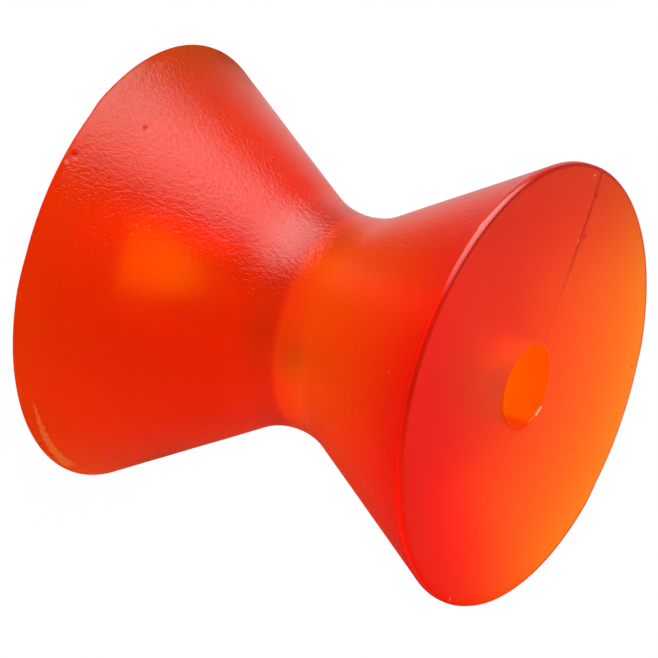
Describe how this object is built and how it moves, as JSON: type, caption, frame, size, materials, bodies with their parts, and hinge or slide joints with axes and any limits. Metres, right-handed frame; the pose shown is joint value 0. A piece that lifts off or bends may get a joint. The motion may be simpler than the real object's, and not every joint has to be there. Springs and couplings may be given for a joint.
{
  "type": "boat trailer roller",
  "caption": "V-shaped bow roller for a boat trailer: translucent red-orange polyurethane flares from a rounded waist to flat ends, with a plain bore for the bracket's shaft.",
  "frame": {"origin": "middle of the bore, half way along the roller, level with the narrowest place of the waist", "axes": "+Z along the bore, up as the roller stands on one end face; the mould's parting plane is the XZ plane"},
  "size_m": [0.075, 0.075, 0.076],
  "materials": {
    "polyurethane": "glossy translucent red-orange cast polyurethane with a fine orange-peel skin"
  },
  "bodies": {
    "root": {"roller": "polyurethane"}
  },
  "joints": []
}
